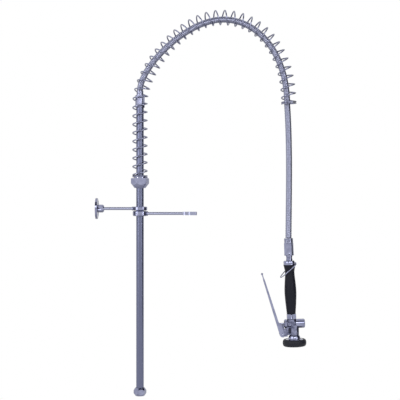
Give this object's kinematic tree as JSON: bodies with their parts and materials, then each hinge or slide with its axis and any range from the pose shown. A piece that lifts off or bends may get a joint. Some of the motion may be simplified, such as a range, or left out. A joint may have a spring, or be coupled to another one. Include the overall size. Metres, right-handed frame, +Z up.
{
  "type": "pre rinse faucet",
  "caption": "Riser with wall bracket and gun hook, coil-sprung hose arch and a squeeze-lever spray gun, for rinsing dishes above a sink.",
  "frame": {"origin": "on the riser axis in the plane of the foot nut's lower face, where the supply thread enters", "axes": "+Z up the riser, +X from the riser towards the spray gun in the plane of the arch, -Y is the side that the picture shows"},
  "size_m": [0.621, 0.0696, 1.1379],
  "materials": {
    "riser_tube": "drawn stainless tube, satin",
    "chrome_plate": "bright chrome plate on brass",
    "stainless_bright": "turned stainless steel, fine satin",
    "spring_steel": "polished stainless spring wire",
    "hose_sheath": "interlocked stainless sheath over a rubber core filled with water",
    "grip_rubber": "moulded black grip, fine matt texture",
    "seal_rubber": "black nitrile rubber",
    "bumper_rubber": "moulded black rubber",
    "tube_brass": "drawn brass tube"
  },
  "bodies": {
    "root": {"riser_pipe": "riser_tube", "foot_union_nut": "chrome_plate", "foot_sealing_washer": "seal_rubber", "spring_seat": "chrome_plate", "seat_set_screw": "stainless_bright", "hose_top_nut": "chrome_plate", "hose_top_ferrule": "stainless_bright", "hose_top_washer": "seal_rubber"},
    "wall_bracket": {"wall_collar": "chrome_plate", "wall_collar_screw": "stainless_bright", "wall_arm": "stainless_bright", "wall_hub_nut": "chrome_plate", "wall_flange": "chrome_plate"},
    "gun_hook": {"hook_collar": "chrome_plate", "hook_collar_screw_1": "stainless_bright", "hook_collar_screw_2": "stainless_bright", "hook_arm": "stainless_bright"},
    "arch_base": {"support_spring": "spring_steel"},
    "arch_top": {"hose_in_spring": "hose_sheath"},
    "hanging_hose": {"hose_drop": "hose_sheath", "hose_end_ferrule": "stainless_bright", "swivel_nut": "chrome_plate", "swivel_seal": "seal_rubber"},
    "gun": {"swivel_spigot": "chrome_plate", "top_collar": "chrome_plate", "handle_tube": "tube_brass", "grip": "grip_rubber", "neck_nut": "chrome_plate", "valve_body": "chrome_plate", "bonnet": "chrome_plate", "bonnet_ring": "seal_rubber", "packing_nut": "chrome_plate", "stem_seal": "seal_rubber", "valve_spring": "spring_steel", "lever_pin": "stainless_bright", "rose_shell": "chrome_plate", "spray_plate": "stainless_bright", "rose_bumper": "bumper_rubber", "rose_screw": "stainless_bright"},
    "squeeze_lever": {"lever": "chrome_plate"},
    "stem": {"valve_stem": "stainless_bright", "valve_disc": "seal_rubber"},
    "hold_ring": {"hold_open_ring": "spring_steel"}
  },
  "joints": [
    {"name": "wall_bracket_slide", "type": "slide", "parent": "root", "child": "wall_bracket", "axis": [0, 0, 1], "range_m": [0, 0.045]},
    {"name": "hook_turn", "type": "hinge", "parent": "root", "child": "gun_hook", "pos_m": [0, 0, 0.537], "axis": [0, 0, 1], "range_deg": [-150, 150]},
    {"name": "arch_swing", "type": "hinge", "parent": "root", "child": "arch_base", "pos_m": [0, 0, 0.643], "axis": [0, 0, 1], "range_deg": [-100, 100]},
    {"name": "arch_flex", "type": "hinge", "parent": "arch_base", "child": "arch_top", "pos_m": [0, 0, 0.9], "axis": [0, 1, 0], "range_deg": [-4, 12], "stiffness_Nm_per_rad": 40, "springref_deg": -9.06, "deforming": ["support_spring", "hose_in_spring"]},
    {"name": "hose_swing", "type": "hinge", "parent": "arch_top", "child": "hanging_hose", "pos_m": [0.434, 0, 0.8597], "axis": [0, 1, 0], "range_deg": [-25, 15], "stiffness_Nm_per_rad": 0.8, "springref_deg": -8.97, "deforming": ["hose_drop"]},
    {"name": "gun_swivel", "type": "hinge", "parent": "hanging_hose", "child": "gun", "pos_m": [0.438, 0, 0.464], "axis": [-0.0366, 0, 0.9993], "continuous": true},
    {"name": "lever_pivot", "type": "hinge", "parent": "gun", "child": "squeeze_lever", "pos_m": [0.42039, 0, 0.18016], "axis": [0, 1, 0], "range_deg": [0, 11], "stiffness_Nm_per_rad": 4, "springref_deg": -8.59},
    {"name": "valve_stem_slide", "type": "slide", "parent": "gun", "child": "stem", "axis": [0.9993, 0, 0.0366], "range_m": [0, 0.0066], "deforming": ["valve_spring"]},
    {"name": "hold_ring_swing", "type": "hinge", "parent": "gun", "child": "hold_ring", "pos_m": [0.45771, 0, 0.39037], "axis": [0, 1, 0], "range_deg": [0, 28.4]}
  ],
  "couplings": [
    {"joint": "valve_stem_slide", "follows": "lever_pivot", "m_per_rad": 0.0329}
  ]
}
